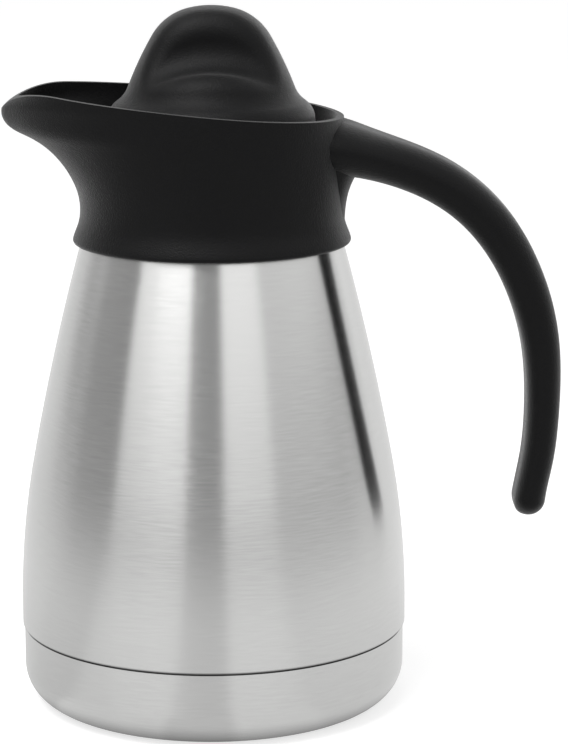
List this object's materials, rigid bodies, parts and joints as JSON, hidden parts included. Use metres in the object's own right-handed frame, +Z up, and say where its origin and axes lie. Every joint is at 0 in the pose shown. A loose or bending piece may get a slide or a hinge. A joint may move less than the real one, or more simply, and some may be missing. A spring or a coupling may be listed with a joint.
{
  "type": "insulated pouring jug",
  "caption": "Tapered stainless steel vacuum jug with a black moulded collar and pouring lip, an open arch handle and a domed twist stopper.",
  "frame": {"origin": "centre of the flat underside of the base, on the body's axis", "axes": "+Z up along the body's axis, +X towards the handle, -X towards the pouring lip"},
  "size_m": [0.1869, 0.1308, 0.2357],
  "materials": {
    "brushed_steel": "fine brushing round the body, satin sheen",
    "drawn_steel": "plain drawn steel, bright inside",
    "black_plastic": "moulded polypropylene with a fine spark texture",
    "silicone": "soft matte silicone",
    "white_foam": "moulded foam",
    "pad_foam": "closed-cell foam",
    "solder_glass": "fused bead",
    "getter_alloy": "pressed pellet",
    "zinc_steel": "bright zinc"
  },
  "bodies": {
    "jug": {"outer_shell": "brushed_steel", "inner_liner": "drawn_steel", "liner_floor": "drawn_steel", "shell_bottom": "drawn_steel", "vacuum_seal": "solder_glass", "getter": "getter_alloy", "base_pad": "pad_foam", "base_cup": "brushed_steel", "collar": "black_plastic", "throat_ring": "black_plastic", "neck_seal": "silicone", "deck_seal": "silicone", "handle": "black_plastic", "handle_screws": "zinc_steel"},
    "stopper_lift": {"stopper_gasket": "silicone"},
    "stopper": {"stopper_knob": "black_plastic", "stopper_plug": "black_plastic", "stopper_insulation": "white_foam", "stopper_base": "black_plastic"}
  },
  "joints": [
    {"name": "stopper_rise", "type": "slide", "parent": "jug", "child": "stopper_lift", "axis": [0, 0, 1], "range_m": [0, 0.02]},
    {"name": "stopper_turn", "type": "hinge", "parent": "stopper_lift", "child": "stopper", "pos_m": [0, 0, 0.19], "axis": [0, 0, 1], "range_deg": [0, 450]}
  ],
  "couplings": [
    {"joint": "stopper_rise", "follows": "stopper_turn", "m_per_rad": 0.0025464}
  ]
}
